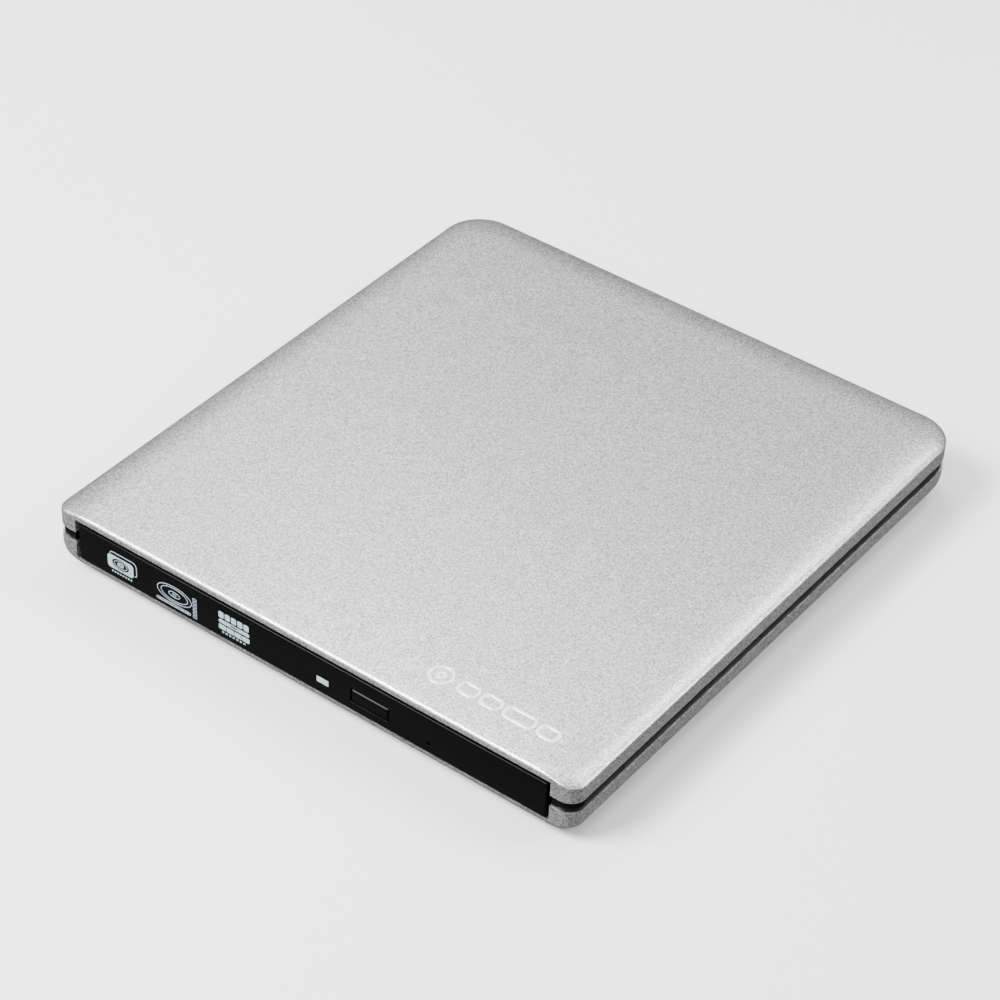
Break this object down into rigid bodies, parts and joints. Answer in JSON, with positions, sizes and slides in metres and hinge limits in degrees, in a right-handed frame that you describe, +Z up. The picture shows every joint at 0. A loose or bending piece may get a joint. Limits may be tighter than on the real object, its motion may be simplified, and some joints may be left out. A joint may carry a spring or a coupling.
{
  "type": "external optical drive",
  "caption": "Slim external optical drive: silver two-shell case with a dark middle band, black front bezel and a tray that slides out on telescoping runners.",
  "frame": {"origin": "on the ground under the middle of the case, level with the undersides of the rubber feet", "axes": "+X to the right seen from the front, the tray comes out along -Y, +Z up"},
  "size_m": [0.142, 0.152, 0.0169],
  "materials": {
    "silver_shell": "plastic with fine metallic silver paint, satin",
    "black_frame": "black plastic, semi-gloss",
    "rubber": "matt black rubber",
    "zinc_screw": "bright zinc plate",
    "black_screw": "black zinc plate",
    "board": "green solder mask over copper",
    "chip_black": "moulded epoxy",
    "can_metal": "drawn metal can",
    "connector_steel": "nickel plate",
    "connector_black": "moulded liquid-crystal polymer",
    "connector_ivory": "moulded ivory polymer",
    "sheet_steel": "zinc coated sheet steel",
    "rail_acetal": "acetal",
    "runner_steel": "stainless sheet, greased",
    "ribbon": "white polyester ribbon",
    "tray_black": "fine grained black plastic",
    "bezel_black": "black plastic, fine satin",
    "window_grey": "smoky translucent light guide",
    "led_lens": "clear epoxy",
    "shroud_grey": "black coated sheet",
    "frame_zinc": "die cast",
    "rod_steel": "ground and polished",
    "motor_can": "drawn can",
    "copper": "enamelled copper winding",
    "turntable_black": "moulded black plastic",
    "jaw_white": "acetal",
    "sled_cast": "die cast zinc",
    "lens_black": "black moulding with a glass lens",
    "brass": "turned and plated"
  },
  "bodies": {
    "case": {"top_cover": "silver_shell", "bottom_cover": "silver_shell", "mid_frame": "black_frame", "rubber_feet": "rubber", "case_screws": "black_screw", "bridge_board": "board", "bridge_chip": "chip_black", "board_crystal": "can_metal", "board_capacitor": "can_metal", "board_screws": "zinc_screw", "usb_socket_shell": "connector_steel", "usb_socket_tongue": "connector_black", "power_jack_body": "connector_black", "power_jack_pin": "connector_steel", "slim_sata_socket": "connector_black", "drive_chassis": "sheet_steel", "drive_lid": "sheet_steel", "chassis_screws": "zinc_screw", "drive_screws": "zinc_screw", "guide_rail_left": "rail_acetal", "guide_rail_right": "rail_acetal", "slim_sata_plug": "connector_black", "connector_board": "board", "latch_post": "rod_steel", "flat_cable": "ribbon"},
    "runner_left": {"runner_left": "runner_steel"},
    "runner_right": {"runner_right": "runner_steel"},
    "tray": {"tray": "tray_black", "bezel": "bezel_black", "status_window": "window_grey", "status_led": "led_lens", "front_board": "board", "eject_switch": "can_metal", "main_board": "board", "main_chip": "chip_black", "driver_chip": "chip_black", "cable_connector": "connector_ivory", "shroud_plate": "shroud_grey", "traverse_frame": "frame_zinc", "guide_rod_main": "rod_steel", "guide_rod_side": "rod_steel", "sled_motor": "motor_can", "spindle_base": "frame_zinc", "spindle_stator": "copper", "grommets": "rubber", "shoulder_screws": "zinc_screw", "latch_solenoid": "copper", "kick_plunger": "jaw_white", "kick_spring": "zinc_screw"},
    "eject_button": {"eject_button": "bezel_black"},
    "spindle": {"spindle_rotor": "motor_can", "turntable": "turntable_black", "turntable_pad": "rubber"},
    "clamp_jaw_1": {"clamp_jaw_1": "jaw_white"},
    "clamp_jaw_2": {"clamp_jaw_2": "jaw_white"},
    "clamp_jaw_3": {"clamp_jaw_3": "jaw_white"},
    "pickup": {"pickup_sled": "sled_cast"},
    "lens": {"lens_holder": "lens_black"},
    "lead_screw": {"lead_screw": "brass"},
    "latch_lever": {"latch_lever": "jaw_white"}
  },
  "joints": [
    {"name": "tray_slide", "type": "slide", "parent": "case", "child": "tray", "axis": [0, -1, 0], "range_m": [0, 0.126], "deforming": ["flat_cable"]},
    {"name": "runner_left_slide", "type": "slide", "parent": "case", "child": "runner_left", "axis": [0, -1, 0], "range_m": [0, 0.064]},
    {"name": "runner_right_slide", "type": "slide", "parent": "case", "child": "runner_right", "axis": [0, -1, 0], "range_m": [0, 0.064]},
    {"name": "eject_button_press", "type": "slide", "parent": "tray", "child": "eject_button", "axis": [0, 1, 0], "range_m": [0, 0.0008], "stiffness_N_per_m": 400},
    {"name": "spindle_spin", "type": "hinge", "parent": "tray", "child": "spindle", "pos_m": [0, -0.009, 0.0115], "axis": [0, 0, 1], "continuous": true},
    {"name": "clamp_jaw_1_press", "type": "slide", "parent": "spindle", "child": "clamp_jaw_1", "axis": [0, -1, 0], "range_m": [0, 0.0006], "stiffness_N_per_m": 300},
    {"name": "clamp_jaw_2_press", "type": "slide", "parent": "spindle", "child": "clamp_jaw_2", "axis": [0.866, 0.5, 0], "range_m": [0, 0.0006], "stiffness_N_per_m": 300},
    {"name": "clamp_jaw_3_press", "type": "slide", "parent": "spindle", "child": "clamp_jaw_3", "axis": [-0.866, 0.5, 0], "range_m": [0, 0.0006], "stiffness_N_per_m": 300},
    {"name": "pickup_slide", "type": "slide", "parent": "tray", "child": "pickup", "axis": [-0.7071, -0.7071, 0], "range_m": [0, 0.036]},
    {"name": "lens_focus", "type": "slide", "parent": "pickup", "child": "lens", "axis": [0, 0, 1], "range_m": [-0.0004, 0.0004], "stiffness_N_per_m": 60},
    {"name": "lead_screw_spin", "type": "hinge", "parent": "tray", "child": "lead_screw", "pos_m": [-0.00545, -0.04598, 0.0082], "axis": [-0.7071, -0.7071, 0], "range_deg": [0, 4400]},
    {"name": "latch_lever_swing", "type": "hinge", "parent": "tray", "child": "latch_lever", "pos_m": [0.041, -0.064, 0.007], "axis": [0, 0, 1], "range_deg": [0, 16]}
  ],
  "couplings": [
    {"joint": "runner_left_slide", "follows": "tray_slide", "ratio": 0.5},
    {"joint": "runner_right_slide", "follows": "tray_slide", "ratio": 0.5},
    {"joint": "lead_screw_spin", "follows": "pickup_slide", "rad_per_m": 2094.4}
  ]
}
